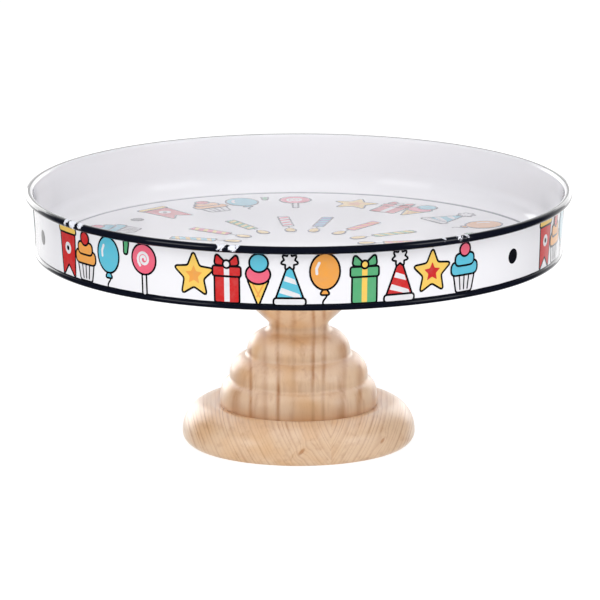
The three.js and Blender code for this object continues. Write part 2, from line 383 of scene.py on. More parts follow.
class Motif:
    """A small drawing: shapes in order, each with its ink and whether it has a black outline."""

    def __init__(self):
        self.shapes = []

    def shape(self, ink, outline):
        """A shape with a black outline round it."""
        self.shapes.append((ink, outline, True))
        return self

    def mark(self, ink, outline):
        """A plain mark on top of what is there."""
        self.shapes.append((ink, outline, False))
        return self


def pennant(ink, accent):
    """A hanging flag with a swallow tail and a dot."""
    motif = Motif()
    motif.shape(ink, rounded([(-7.4, 10.4), (7.4, 10.4), (6.0, -12.4), (0, -6.2), (-6.0, -12.4)], 1.2))
    motif.mark("white", disc(0, 1.6, 3.1))
    motif.mark("black", disc(0, 1.6, 1.3))
    motif.shape(accent, box(0, 11.2, 8.4, 1.3, 1.2))
    return motif


def cupcake(ink, accent):
    """A cake in a pleated case with a swirl of icing and a berry."""
    motif = Motif()
    motif.shape("white", rounded([(-7.0, -1.5), (7.0, -1.5), (4.8, -12.2), (-4.8, -12.2)], 1.2))
    for x in (-3.4, 0, 3.4):
        motif.mark("black", stroke([(x, -2.6), (x * 0.72, -11.2)], 0.8))
    motif.shape(ink, box(0, -0.4, 8.4, 3.0, 2.8))
    motif.shape(ink, box(0, 4.2, 5.9, 2.7, 2.5))
    motif.shape(accent, disc(0, 9.3, 3.0))
    return motif


def balloon(ink, accent):
    """A balloon with a shine, a knot and a wavy string."""
    motif = Motif()
    motif.mark("black", stroke(wave(0, -6.0, -13.4, 1.1, 0.9), 1.0))
    motif.shape(ink, rounded([(0, -4.6), (2.0, -7.6), (-2.0, -7.6)], 0.7))
    motif.shape(ink, disc(0, 4.0, 7.6, 8.9))
    motif.mark(accent, stroke([(-4.4, 3.0), (-4.6, 5.6), (-3.2, 8.4)], 1.5))
    return motif


def confetti(ink, accent):
    """A single slip of confetti."""
    return Motif().shape(ink, rounded([(-1.2, 12.6), (1.5, 12.6), (0.3, 6.6), (-1.3, 6.6)], 0.6))


def lollipop(ink, accent):
    """A round sweet on a stick, with a swirl."""
    motif = Motif()
    motif.shape("white", box(0, -7.0, 0.9, 6.2, 0.8))
    motif.shape(ink, disc(0, 5.0, 7.4))
    swirl = [
        (0.62 * (1.5 + t * 0.5) * math.cos(t), 5.0 + 0.62 * (1.5 + t * 0.5) * math.sin(t))
        for t in (0.45 * k for k in range(24))
    ]
    motif.mark(accent, stroke(swirl, 1.5))
    return motif


def star(ink, accent):
    """A plump star."""
    motif = Motif()
    motif.shape(ink, star_shape(0, 0, 11.6, 5.4, soften=1.6))
    motif.mark(accent, star_shape(0, 0, 5.2, 2.5, soften=0.6))
    return motif


def present(ink, accent):
    """A wrapped box with a ribbon and a bow."""
    motif = Motif()
    motif.shape(ink, box(0, -5.2, 6.4, 7.4, 0.8))
    motif.mark(accent, box(0, -5.2, 1.5, 7.3, 0.3))
    motif.shape(ink, box(0, 3.2, 7.4, 2.1, 0.8))
    motif.mark(accent, box(0, 3.2, 1.5, 2.0, 0.3))
    for side in (-1, 1):
        motif.shape(ink, rounded([(0, 6.4), (side * 5.6, 11.6), (side * 6.4, 6.8)], 1.5))
    motif.shape(accent, disc(0, 6.9, 1.5))
    return motif


def ice_cream(ink, accent):
    """Two scoops in a cone."""
    motif = Motif()
    motif.shape("yellow", rounded([(-5.4, -0.5), (5.4, -0.5), (0, -13.2)], 1.0))
    for side in (-1, 1):
        motif.mark("orange", stroke([(side * 3.6, -1.5), (side * -0.7, -9.2)], 0.8))
    motif.shape(ink, disc(0, 2.4, 6.2, 4.6))
    motif.shape(accent, disc(0.4, 8.2, 4.6, 4.2))
    return motif


def hat(ink, accent):
    """A pointed party hat with stripes and a tuft."""
    motif = Motif()
    motif.shape(ink, rounded([(-7.6, -11.6), (7.6, -11.6), (0, 8.6)], 1.4))
    motif.mark(accent, rounded([(-5.6, -7.0), (-4.5, -4.2), (5.4, -7.6), (6.4, -10.2)], 0.4))
    motif.mark(accent, rounded([(-3.2, -0.8), (-2.2, 1.8), (2.9, 0.0), (3.9, -2.8)], 0.4))
    motif.shape(accent, box(0, -11.6, 8.2, 1.4, 1.3))
    motif.shape(accent, star_shape(0, 9.4, 4.2, 2.3, arms=7, soften=0.5))
    return motif


def dot():
    """A plain round dot."""
    return Motif().mark("black", disc(0, 0, 3.95))


def candle(ink, accent):
    """A striped candle, its flame pointing down the page."""
    motif = Motif()
    motif.mark("black", stroke([(0, -13), (0, -19)], 0.9))
    motif.shape(ink, box(0, 0, 2.6, 12.5, 0.8))
    for k in range(4):
        y = -9.4 + 6.2 * k
        motif.mark(accent, rounded([(-2.6, y - 2.2), (2.6, y), (2.6, y + 2.5), (-2.6, y + 0.3)], 0.2))
    half_flame = [(2.1, -20.6), (2.7, -24.0), (1.6, -27.0)]
    flame = [(0, -17.8)] + half_flame + [(-x, y) for x, y in reversed(half_flame)]
    motif.shape("yellow", rounded(flame, 1.6, 3))
    return motif


# One run of motifs: drawing, ink, accent, its angle in the run round the band, and on the floor.
RUN = [
    (pennant, "red", "yellow", -48.3, -77.0),
    (cupcake, "orange", "red", -41.6, -61.8),
    (balloon, "cyan", "white", -34.1, -51.2),
    (confetti, "green", "green", -28.8, -44.0),
    (lollipop, "pink", "white", -24.2, -36.0),
    (star, "yellow", "orange", -12.2, -18.2),
    (present, "red", "white", -4.9, -6.0),
    (ice_cream, "pink", "cyan", 1.8, 2.0),
    (hat, "cyan", "white", 8.4, 15.9),
    (balloon, "orange", "white", 15.8, 28.6),
    (present, "green", "yellow", 24.2, 42.0),
    (hat, "red", "white", 31.9, 54.0),
    (star, "yellow", "red", 39.5, 66.0),
    (cupcake, "cyan", "pink", 47.7, 77.0),
]
BAND_MOTIF_HEIGHT = 1.08
BAND_RUNS = (-135.6, -10.3, 115.0)  # middle of each run round the band, in degrees from the front
BAND_DOTS = (-73.0, 52.3, 169.7)
FLOOR_RUNS = (35.0, 215.0)  # middle of each run on the floor, in degrees from the back
FLOOR_DOTS = (-54.6, 125.4)
BAND_FACET, FLOOR_FACET = 1.8, 6.0  # longest side of a print's facets, in millimetres
FLOOR_RING_RADIUS = 112.5 * MM
FLOOR_MOTIF_SCALE = 1.14
CANDLE_RADIUS = 61 * MM
# Half of the ring of candles: its angle on the floor, in degrees from the back, body and stripes.
CANDLES = [
    (-54.7, "pink", "yellow"),
    (-32.1, "green", "yellow"),
    (-7.0, "white", "pink"),
    (13.1, "cyan", "violet"),
    (36.9, "pink", "orange"),
    (61.6, "green", "yellow"),
    (83.5, "orange", "pink"),
    (104.5, "cyan", "yellow"),
]


def wall_line(tray):
    """The outside of the band from its foot up to the rolled rim, as radius and height."""
    curl_height = tray.rim_top - tray.curl
    bend = curl_height - tray.wall_bend
    foot = (tray.wall_foot, tray.bottom + 2 * tray.bead - 0.2 * MM)
    straight = [Vector(foot).lerp((tray.wall_top, bend), k / 4) for k in range(4)]
    hollow_side = tray.rim_radius - 2 * tray.curl + tray.sheet
    flare = bulge((tray.wall_top, bend), (hollow_side, curl_height), -0.12 * MM, 6)
    return [tuple(p) for p in straight] + flare


def wall_radius(tray, height):
    """The outside radius of the band at a height."""
    line = wall_line(tray)
    below, above = next(pair for pair in zip(line, line[1:]) if height <= pair[1][1])
    share = (height - below[1]) / (above[1] - below[1])
    return below[0] + (above[0] - below[0]) * share


def on_band(angle, tray):
    """Places a motif's millimetres on the outside of the band, at an angle from the front."""
    middle = (tray.bottom + 2 * tray.bead + tray.rim_top - 2 * tray.curl) / 2

    def place(x, y, lift):
        height = middle + y * MM * BAND_MOTIF_HEIGHT
        radius = wall_radius(tray, height)
        turn = math.radians(angle) + x * MM / radius
        radius += lift
        return (radius * math.sin(turn), -radius * math.cos(turn), height)

    return place


def on_floor(angle, radius, scale=1.0):
    """Places a motif's millimetres on the cake surface, at an angle from the back, its top outward."""
    outward = Vector((math.sin(math.radians(angle)), math.cos(math.radians(angle)), 0))
    across = Vector((outward.y, -outward.x, 0))

    def place(x, y, lift):
        spot = outward * (radius + y * MM * scale) + across * x * MM * scale
        return (spot.x, spot.y, CAKE_SURFACE + lift)

    return place


def inside(point, outline):
    """Whether a point lies inside an outline."""
    x, y = point
    odd = False
    for (ax, ay), (bx, by) in zip(outline, outline[1:] + outline[:1]):
        if (ay > y) != (by > y) and x < (bx - ax) * (y - ay) / (by - ay) + ax:
            odd = not odd
    return odd


def divided(outline, step):
    """The outline with long sides divided."""
    result = []
    for a, b in zip(outline, outline[1:] + outline[:1]):
        count = max(1, math.ceil((Vector(b) - Vector(a)).length / step))
        result += [tuple(Vector(a).lerp(Vector(b), k / count)) for k in range(count)]
    return result


GRID_SHIFT = (0.013, 0.017)  # keeps the grid's points off the outlines


def spread(outline, step):
    """Points on a grid inside the outline."""
    xs, ys = [p[0] for p in outline], [p[1] for p in outline]
    points = []
    for i in range(math.ceil(min(xs) / step), math.floor(max(xs) / step) + 1):
        for j in range(math.ceil(min(ys) / step), math.floor(max(ys) / step) + 1):
            spot = (i * step + GRID_SHIFT[0], j * step + GRID_SHIFT[1])
            if inside(spot, outline):
                points.append(spot)
    return points


class Print:
    """Gathers layers of ink as closed thin solids, and makes one mesh of them."""

    INKS = ("black", "white", "red", "orange", "yellow", "green", "cyan", "pink", "violet")

    # The last argument is the share of painted glare that whitens the inks.
    def __init__(self, film, outline_width, step, paleness=0.0):
        self.film, self.outline_width, self.step, self.paleness = film, outline_width, step, paleness
        self.vertices, self.faces, self.slots = [], [], []

    def layer(self, ink, outline, place, level):
        """One layer of one ink: a closed solid, a few hundredths of a millimetre thick."""
        edge = divided(outline, self.step)
        points = [Vector(p) for p in edge + spread(outline, self.step)]
        corners, _, triangles, _, _, _ = delaunay_2d_cdt(points, [], [list(range(len(edge)))], 1, 1e-5)
        bottom, top = self.film, self.film * (level + 2)
        first = len(self.vertices)
        self.vertices += [place(c.x, c.y, top) for c in corners]
        self.vertices += [place(c.x, c.y, bottom) for c in corners]
        count, sides = len(corners), {}
        for triangle in triangles:
            a, b, c = (corners[v] for v in triangle)
            if (b - a).cross(c - a) < 0:
                triangle = triangle[::-1]
            self.faces.append([first + v for v in triangle])
            self.faces.append([first + count + v for v in reversed(triangle)])
            for start, end in zip(triangle, (*triangle[1:], triangle[0])):
                sides[(start, end)] = sides.get((start, end), 0) + 1
        for start, end in sides:
            if (end, start) not in sides:
                self.faces.append([first + end, first + start, first + count + start, first + count + end])
        self.slots += [self.INKS.index(ink)] * (len(self.faces) - len(self.slots))

    def motif(self, motif, place):
        """Every shape of a motif, each on top of the last."""
        level = 0
        for ink, outline, outlined in motif.shapes:
            if outlined:
                self.layer("black", grown(outline, self.outline_width), place, level)
                level += 1
            self.layer(ink, outline, place, level)
            level += 1

    def mesh(self, name):
        """The gathered layers as one object."""
        materials = [ink_material(ink, self.paleness) for ink in self.INKS]
        return add_mesh(name, self.vertices, self.faces, materials, self.slots)


# ---- Shader nodes ---------------------------------------------------------------------------


class Nodes:
    """Adds nodes to a tree and joins them."""

    def __init__(self, tree):
        self.tree = tree

    def feed(self, socket, value):
        """Joins another node's output to a socket, or sets its value."""
        if isinstance(value, bpy.types.NodeSocket):
            self.tree.links.new(value, socket)
        else:
            socket.default_value = value

    def add(self, kind, settings=None, **inputs):
        """A node with its settings and inputs, whose names have _ for a space."""
        node = self.tree.nodes.new(kind)
        for name, value in (settings or {}).items():
            setattr(node, name, value)
        for name, value in inputs.items():
            self.feed(node.inputs[name.replace("_", " ")], value)
        return node

    def math(self, operation, *values):
        """The result of a sum on numbers."""
        node = self.add("ShaderNodeMath", {"operation": operation})
        for socket, value in zip(node.inputs, values):
            self.feed(socket, value)
        return node.outputs[0]

    def vector(self, operation, *values, output=0):
        """The result of a sum on vectors."""
        node = self.add("ShaderNodeVectorMath", {"operation": operation})
        for socket, value in zip(node.inputs, values):
            self.feed(socket, value)
        return node.outputs[output]

    def mix(self, share, a, b):
        """A mix of two colours."""
        node = self.add("ShaderNodeMix", {"data_type": "RGBA"})
        for index, value in ((0, share), (6, a), (7, b)):
            self.feed(node.inputs[index], value)
        return node.outputs[2]

    def ramp(self, value, start, end):
        """Rises smoothly from 0 to 1 as the value goes from start to end."""
        node = self.add("ShaderNodeMapRange", {"interpolation_type": "SMOOTHSTEP"}, Value=value)
        node.inputs["From Min"].default_value = start
        node.inputs["From Max"].default_value = end
        return node.outputs["Result"]

    def noise(self, position, scale, detail=2.0, roughness=0.5, distortion=0.0):
        """Noise between 0 and 1 at a position."""
        node = self.add("ShaderNodeTexNoise", None, Vector=position, Scale=scale, Detail=detail)
        node.inputs["Roughness"].default_value = roughness
        node.inputs["Distortion"].default_value = distortion
        return node.outputs["Fac"]

    def split(self, position):
        """The x, y and z of a vector."""
        node = self.add("ShaderNodeSeparateXYZ", None, Vector=position)
        return node.outputs[0], node.outputs[1], node.outputs[2]

    def join(self, x, y, z):
        """A vector from x, y and z."""
        return self.add("ShaderNodeCombineXYZ", None, X=x, Y=y, Z=z).outputs[0]

    def off_axis(self, position):
        """How far a position is from the Z axis."""
        return self.vector("LENGTH", self.vector("MULTIPLY", position, (1.0, 1.0, 0.0)), output=1)

    def stretched_noise(self, position, length, scale, detail, roughness=0.5):
        """Noise that is drawn out along Z where length is below 1."""
        return self.noise(self.vector("MULTIPLY", position, (1.0, 1.0, length)), scale, detail, roughness)

    def place(self):
        """Where a point of the surface is, in the piece's own frame."""
        return self.add("ShaderNodeTexCoord").outputs["Object"]


def rgba(values):
    """A colour with full alpha."""
    return (*values, 1.0)


SOCKETS = {"VECTOR": "NodeSocketVector", "FLOAT": "NodeSocketFloat", "COLOR": "NodeSocketColor"}


def node_group(name, inputs, outputs):
    """A new node group with named sockets: its nodes, its inputs and its output node."""
    group = bpy.data.node_groups.new(name, "ShaderNodeTree")
    for label, kind in inputs:
        group.interface.new_socket(name=label, in_out="INPUT", socket_type=SOCKETS[kind])
    for label, kind in outputs:
        group.interface.new_socket(name=label, in_out="OUTPUT", socket_type=SOCKETS[kind])
    nodes = Nodes(group)
    return nodes, nodes.add("NodeGroupInput").outputs, nodes.add("NodeGroupOutput").inputs


def use_group(nodes, build, **inputs):
    """Places a node group in a tree, and builds it the first time."""
    group = bpy.data.node_groups.get(build.__name__)
    if group is None:
        build()
        group = bpy.data.node_groups[build.__name__]
    node = nodes.add("ShaderNodeGroup", {"node_tree": group})
    for name, value in inputs.items():
        nodes.feed(node.inputs[name.replace("_", " ")], value)
    return node.outputs


def enamel_skin():
    """Fired enamel: slow waves, faint orange peel and smudges that dull the gloss."""
    outputs = [("Roughness", "FLOAT"), ("Height", "FLOAT")]
    nodes, given, out = node_group("enamel_skin", [("Position", "VECTOR"), ("Roughness", "FLOAT")], outputs)
    waves = nodes.noise(given["Position"], 22.0, 2.0)
    peel = nodes.noise(given["Position"], 520.0, 1.0)
    smudge = nodes.noise(given["Position"], 38.0, 4.0, 0.6)
    nodes.feed(out["Height"], nodes.math("MULTIPLY_ADD", peel, 0.05, waves))
    duller = nodes.math("MULTIPLY_ADD", nodes.ramp(smudge, 0.45, 0.75), 0.12, 1.0)
    nodes.feed(out["Roughness"], nodes.math("MULTIPLY", given["Roughness"], duller))


def wood_grain():
    """Sawn softwood: growth rings round the grain axis Z, fibres along it, and slow changes of tone."""
    values = ("Ring Spacing", "Wander", "Ring Strength", "Ring Softness")
    colours = ("Early Wood", "Late Wood", "Amber Wood")
    nodes, given, out = node_group(
        "wood_grain",
        [("Position", "VECTOR")] + [(v, "FLOAT") for v in values] + [(c, "COLOR") for c in colours],
        [("Colour", "COLOR"), ("Roughness", "FLOAT"), ("Height", "FLOAT")],
    )
    position = given["Position"]
    # Rings: the distance from the pith, bent and unevenly spaced, rises slowly and falls fast in each.
    drift = nodes.math("SUBTRACT", nodes.stretched_noise(position, 0.3, 16.0, 2.0), 0.5)
    across = nodes.math("MULTIPLY_ADD", drift, given["Wander"], nodes.off_axis(position))
    phase = nodes.math("DIVIDE", across, given["Ring Spacing"])
    uneven = nodes.add("ShaderNodeTexNoise", {"noise_dimensions": "1D"}, W=phase, Scale=0.42, Detail=1.0)
    phase = nodes.math("MULTIPLY_ADD", uneven.outputs["Fac"], 1.5, phase)
    saw = nodes.math("FRACT", phase)
    rise = nodes.math("POWER", nodes.ramp(saw, 0.25, 0.9), 1.8)
    fall = nodes.math("DIVIDE", nodes.math("SUBTRACT", 1.0, saw), given["Ring Softness"])
    ring = nodes.math("MULTIPLY", rise, nodes.ramp(fall, 0.0, 1.0))
    # Each ring has its own strength, and the rings fade in and out from place to place.
    each = nodes.add("ShaderNodeTexWhiteNoise", {"noise_dimensions": "1D"}, W=nodes.math("FLOOR", phase))
    ring = nodes.math("MULTIPLY", ring, nodes.math("MULTIPLY_ADD", each.outputs["Value"], 0.75, 0.35))
    patch = nodes.ramp(nodes.noise(position, 34.0, 2.0), 0.35, 0.7)
    ring = nodes.math("MULTIPLY", ring, nodes.math("MULTIPLY_ADD", patch, 0.7, 0.45))
    # The share of late wood: rings, then streaks, fibres and slow changes of tone on top.
    fibre = nodes.stretched_noise(position, 0.025, 1300.0, 3.0, 0.65)
    streak = nodes.stretched_noise(position, 0.06, 210.0, 3.0, 0.6)
    tone = nodes.stretched_noise(position, 0.4, 26.0, 3.0, 0.55)
    share = nodes.math("MULTIPLY", ring, given["Ring Strength"])
    layers = ((streak, 0.48, 0.78, 0.34), (fibre, 0.5, 0.8, 0.18), (tone, 0.42, 0.72, 0.28))
    for layer, start, end, weight in layers:
        share = nodes.math("MULTIPLY_ADD", nodes.ramp(layer, start, end), weight, share)
    resin = nodes.stretched_noise(position, 0.45, 44.0, 2.0)
    resin = nodes.math("MULTIPLY", nodes.ramp(resin, 0.44, 0.68), 0.5)
    pale = nodes.mix(resin, given["Early Wood"], given["Amber Wood"])
    nodes.feed(out["Colour"], nodes.mix(nodes.math("MINIMUM", share, 1.0), pale, given["Late Wood"]))
    nodes.feed(out["Roughness"], nodes.math("MULTIPLY_ADD", fibre, 0.16, 0.34))
    height = nodes.math("MULTIPLY_ADD", ring, 0.5, nodes.math("MULTIPLY", fibre, 0.5))
    nodes.feed(out["Height"], height)


def lathe_marks():
    """Fine rings that a turning tool leaves, closer together on some stretches than on others."""
    nodes, given, out = node_group("lathe_marks", [("Position", "VECTOR")], [("Height", "FLOAT")])
    height = nodes.split(given["Position"])[2]
    track = nodes.math("MULTIPLY_ADD", nodes.off_axis(given["Position"]), 0.6, height)
    marks = nodes.add("ShaderNodeTexNoise", {"noise_dimensions": "1D"}, W=track, Scale=900.0, Detail=3.0)
    nodes.feed(out["Height"], marks.outputs["Fac"])


# ---- Materials ------------------------------------------------------------------------------


def material(name, build):
    """The material of that name, built the first time it is asked for."""
    made = bpy.data.materials.get(name)
    if made:
        return made
    made = bpy.data.materials.new(name)
    made.use_nodes = True
    nodes = Nodes(made.node_tree)
    build(nodes, made.node_tree.nodes["Principled BSDF"])
    return made


def paint(nodes, shader, **values):
    """Sets or joins the shader's own sockets, whose names have _ for a space."""
    for name, value in values.items():
        nodes.feed(shader.inputs[name.replace("_", " ")], value)


def add_bump(nodes, shader, height, distance, strength):
    """Bump from a height that varies between 0 and 1 over the given distance."""
    bump = nodes.add("ShaderNodeBump", None, Height=height, Strength=strength, Distance=distance)
    nodes.feed(shader.inputs["Normal"], bump.outputs["Normal"])


ENAMEL_ROUGHNESS = 0.16


def gloss(nodes, shader, position):
    """The gloss that the floor's enamel and the fired inks share."""
    skin = use_group(nodes, enamel_skin, Position=position, Roughness=ENAMEL_ROUGHNESS)
    add_bump(nodes, shader, skin["Height"], 0.05 * MM, 0.5)
    paint(nodes, shader, Roughness=skin["Roughness"], Specular_IOR_Level=0.15)
    paint(nodes, shader, Coat_Weight=1.0, Coat_IOR=1.55, Coat_Roughness=0.04)


# Painted shade: the dark grey of the line along the floor's pressed groove.
FLOOR_GROOVE_SHADE = (0.16, 0.17, 0.2)
SPECK_TINT = (0.10, 0.10, 0.13)


def pan_enamel():
    """Glossy white enamel, with painted shade: a dark grey line along the groove pressed round the flat
    floor, wider towards the right.
    """

    def build(nodes, shader):
        tray, finish = bpy.context.scene.cake_stand_tray, bpy.context.scene.cake_stand_finish
        position = nodes.place()
        # Painted shade along the groove just outside the flat floor; the line widens towards the right, where
        # the shade is heavier.
        off_shade_line = nodes.math("SUBTRACT", nodes.off_axis(position), tray.flat + 0.3 * MM)
        off_shade_line = nodes.math("ABSOLUTE", off_shade_line)
        rightward = nodes.ramp(nodes.split(position)[0], -tray.flat / 2, tray.flat)
        width = nodes.math("MULTIPLY_ADD", rightward, 0.5 * MM, 0.6 * MM)
        line = nodes.math("MULTIPLY", nodes.ramp(nodes.math("DIVIDE", off_shade_line, width), 1.2, 0.5), 0.85)
        tint = nodes.ramp(nodes.noise(position, 9.0, 2.0), 0.3, 0.7)
        plain = nodes.mix(tint, rgba(finish.pan_white), rgba([c * 0.985 for c in finish.pan_white]))
        paint(nodes, shader, Base_Color=nodes.mix(line, plain, rgba(FLOOR_GROOVE_SHADE)))
        gloss(nodes, shader, position)

    return material("pan_enamel", build)


# Chips in the rim's black enamel: angle from the front in degrees, and radius in millimetres.
CHIPS = [
    *((-56.6, 2.3), (-54.2, 2.9), (-51.6, 2.2)),
    *((-16.0, 2.6), (-13.3, 3.0)),
    *((31.3, 1.5), (34.9, 2.0), (36.9, 1.8)),
]


def chip_mask(nodes, position, tray):
    """1 where the enamel of the rim has flaked off, with ragged edges."""
    ragged = nodes.math("SUBTRACT", nodes.noise(position, 620.0, 3.0, 0.7), 0.5)
    nearest = 1.0
    ring = tray.rim_radius - tray.curl * 0.9
    for angle, radius in CHIPS:
        turn = math.radians(angle)
        centre = (ring * math.sin(turn), -ring * math.cos(turn), tray.rim_top - tray.curl * 0.5)
        away = nodes.vector("DISTANCE", position, centre, output=1)
        nearest = nodes.math("MINIMUM", nearest, nodes.math("SUBTRACT", away, radius * MM))
    nearest = nodes.math("MULTIPLY_ADD", ragged, 5.0 * MM, nearest)
    return nodes.ramp(nearest, 0.15 * MM, -0.15 * MM)


def band_enamel():
    """White enamel with black enamel over the rim and the bottom bead, and chips in the rim."""

    def build(nodes, shader):
        tray, finish = bpy.context.scene.cake_stand_tray, bpy.context.scene.cake_stand_finish
        position = nodes.place()
        wander = nodes.math("SUBTRACT", nodes.noise(position, 70.0, 2.0), 0.5)
        height = nodes.math("MULTIPLY_ADD", wander, 0.5 * MM, nodes.split(position)[2])
        blur = 0.1 * MM
        crest = tray.rim_radius - tray.curl * 1.3
        rim_foot = tray.rim_top - 2 * tray.curl - 0.35 * MM
        bead_top = tray.bottom + 2 * tray.bead + 0.65 * MM
        outside = nodes.ramp(nodes.off_axis(position), crest - blur, crest + blur)
        rim = nodes.math("MULTIPLY", outside, nodes.ramp(height, rim_foot - blur, rim_foot + blur))
        black = nodes.math("MAXIMUM", rim, nodes.ramp(height, bead_top + blur, bead_top - blur))
        chips = chip_mask(nodes, position, tray)
        speck = nodes.ramp(nodes.noise(position, 900.0, 2.0), 0.60, 0.70)
        bare = nodes.mix(speck, rgba(finish.bare_spot), rgba(SPECK_TINT))
        tint = nodes.mix(black, rgba(finish.enamel_white), rgba(finish.enamel_black))
        skin = use_group(nodes, enamel_skin, Position=position, Roughness=ENAMEL_ROUGHNESS)
        rough = nodes.math("MULTIPLY_ADD", chips, 0.35, skin["Roughness"])
        coat = nodes.math("MULTIPLY_ADD", chips, -0.8, 1.0)
        height = nodes.math("MULTIPLY_ADD", chips, -5.0, skin["Height"])
        add_bump(nodes, shader, height, 0.05 * MM, 0.6)
        paint(nodes, shader, Base_Color=nodes.mix(chips, tint, bare), Roughness=rough, Coat_Weight=coat)
        paint(nodes, shader, Specular_IOR_Level=0.15, Coat_IOR=1.5, Coat_Roughness=0.03)

    return material("band_enamel", build)


def ink_material(ink, paleness):
    """Fired ink of one colour, under the same gloss as the enamel, mixed toward white ink as a painted glare
    wash when asked.
    """

    def build(nodes, shader):
        inks = bpy.context.scene.cake_stand_inks
        # Painted glare: the ink is mixed toward white ink by the given share.
        tint = Vector(getattr(inks, ink)).lerp(Vector(inks.white), paleness)
        position = nodes.place()
        mottle = nodes.ramp(nodes.noise(position, 240.0, 3.0, 0.6), 0.3, 0.75)
        thin = [c * 0.90 + 0.035 for c in tint] if ink != "black" else [c * 1.5 for c in tint]
        paint(nodes, shader, Base_Color=nodes.mix(mottle, rgba(tint), rgba(thin)))
        gloss(nodes, shader, position)

    # The _pale materials carry the painted glare wash.
    return material(f"ink_{ink}_pale" if paleness else f"ink_{ink}", build)


KNOT_TINT = (0.50, 0.19, 0.05)
SECOND_BOARD = 0.2  # how far along its grain a second board is shifted, so that it differs from the first


def pine(name, to_grain, spacing, wander, strength, softness, knots=(), glue_line=None):
    """Sealed pine. to_grain turns and moves the piece's frame so that the grain runs along Z from the pith.

    With a glue line the piece is two boards that mirror each other at that x. A knot is a slanting
    streak: its place and its size.
    """

    def build(nodes, shader):
        finish = bpy.context.scene.cake_stand_finish
        position = nodes.place()
        board = position
        if glue_line is not None:
            x, y, z = nodes.split(position)
            aside = nodes.math("SUBTRACT", x, glue_line)
            shifted = nodes.math("MULTIPLY_ADD", nodes.math("SIGN", aside), SECOND_BOARD, y)
            board = nodes.join(nodes.math("MULTIPLY", nodes.math("ABSOLUTE", aside), -1.0), shifted, z)
        mapping = nodes.add("ShaderNodeMapping", {"vector_type": "POINT"}, Vector=board)
        mapping.inputs["Rotation"].default_value = to_grain.to_euler()
        mapping.inputs["Location"].default_value = to_grain.to_translation()
        bent, dark = mapping.outputs["Vector"], 0.0
        for centre, size in knots:
            away = nodes.vector("SUBTRACT", position, centre)
            axes = ((0.6, 0.0, 0.6), (1.5, 0.0, -1.5), (0.0, 0.7, 0.0))
            squeezed = [nodes.vector("DOT_PRODUCT", away, axis, output=1) for axis in axes]
            away = nodes.vector("LENGTH", nodes.join(*squeezed), output=1)
            push = nodes.math("MULTIPLY", nodes.ramp(away, size * 3.2, size * 0.4), size * 1.6)
            bent = nodes.vector("ADD", bent, nodes.join(push, push, 0.0))
            dark = nodes.math("MAXIMUM", dark, nodes.ramp(away, size, size * 0.45))
        wood = use_group(
            nodes,
            wood_grain,
            Position=bent,
            Ring_Spacing=spacing,
            Wander=wander,
            Ring_Strength=strength,
            Ring_Softness=softness,
            Early_Wood=rgba(finish.early_wood),
            Late_Wood=rgba(finish.late_wood),
            Amber_Wood=rgba(finish.amber_wood),
        )
        shade = nodes.mix(nodes.math("MULTIPLY", dark, 0.75), wood["Colour"], rgba(KNOT_TINT))
        marks = use_group(nodes, lathe_marks, Position=position)
        height = nodes.math("MULTIPLY_ADD", wood["Height"], 0.7, marks["Height"])
        add_bump(nodes, shader, height, 0.05 * MM, 0.55)
        paint(nodes, shader, Base_Color=shade, Roughness=wood["Roughness"])
        paint(nodes, shader, IOR=1.45, Coat_Weight=1.0, Coat_IOR=1.8, Coat_Roughness=0.32)

    return material(name, build)


def stem_pine():
    """Pine with upright grain, its pith far off to one side."""
    finish = bpy.context.scene.cake_stand_finish
    to_grain = Matrix.Translation((0.605, 0.02, 0))
    return pine("stem_pine", to_grain, finish.stem_rings, 6 * MM, 1.35, 0.35)


def base_pine():
    """Two boards of pine whose grain runs front to back, with rings that slope down to the glue line."""
    finish = bpy.context.scene.cake_stand_finish
    upright = Matrix.Rotation(math.radians(90), 4, "X")
    pith = Vector((150 * MM, 0, 110 * MM))
    to_grain = Matrix.Translation(-(upright @ pith)) @ upright
    knots = [((1.5 * MM, -63.5 * MM, 9 * MM), 3.0 * MM), ((46 * MM, -44 * MM, 10 * MM), 2.6 * MM)]
    return pine("base_pine", to_grain, finish.base_rings, 6 * MM, 0.95, 0.24, knots, 18 * MM)


def plain_beech():
    """Unfinished beech for the dowel."""
    finish = bpy.context.scene.cake_stand_finish
    return pine("plain_beech", Matrix.Translation((0.05, 0.03, 0)), finish.base_rings, 3 * MM, 0.3, 0.1)


def worked_metal(name, tint, roughness):
    """Metal with fine scratches and slightly uneven plating."""

    def build(nodes, shader):
        position = nodes.place()
        scratches = nodes.noise(nodes.vector("MULTIPLY", position, (1.0, 0.05, 1.0)), 1600.0, 3.0, 0.6)
        cloud = nodes.noise(position, 60.0, 4.0, 0.6)
        darker = rgba([c * 0.72 for c in tint])
        shade = nodes.mix(nodes.ramp(cloud, 0.3, 0.8), rgba(tint), darker)
        add_bump(nodes, shader, scratches, 0.02 * MM, 0.4)
        rough = nodes.math("MULTIPLY_ADD", scratches, 0.2, roughness)
        paint(nodes, shader, Base_Color=shade, Roughness=rough, Metallic=1.0)

    return material(name, build)


def bare_steel():
    """Bare drawn steel."""
    return worked_metal("bare_steel", (0.50, 0.51, 0.53), 0.34)


def zinc_plate():
    """Bright zinc plating."""
    return worked_metal("zinc_plate", (0.68, 0.69, 0.71), 0.22)


def black_rubber():
    """Moulded black rubber."""

    def build(nodes, shader):
        position = nodes.place()
        grit = nodes.noise(position, 1400.0, 3.0, 0.6)
        dust = nodes.ramp(nodes.noise(position, 90.0, 3.0), 0.45, 0.8)
        shade = nodes.mix(dust, rgba((0.018, 0.018, 0.019)), rgba((0.045, 0.044, 0.042)))
        add_bump(nodes, shader, grit, 0.04 * MM, 0.6)
        paint(nodes, shader, Base_Color=shade, Roughness=nodes.math("MULTIPLY_ADD", grit, 0.2, 0.6))

    return material("black_rubber", build)


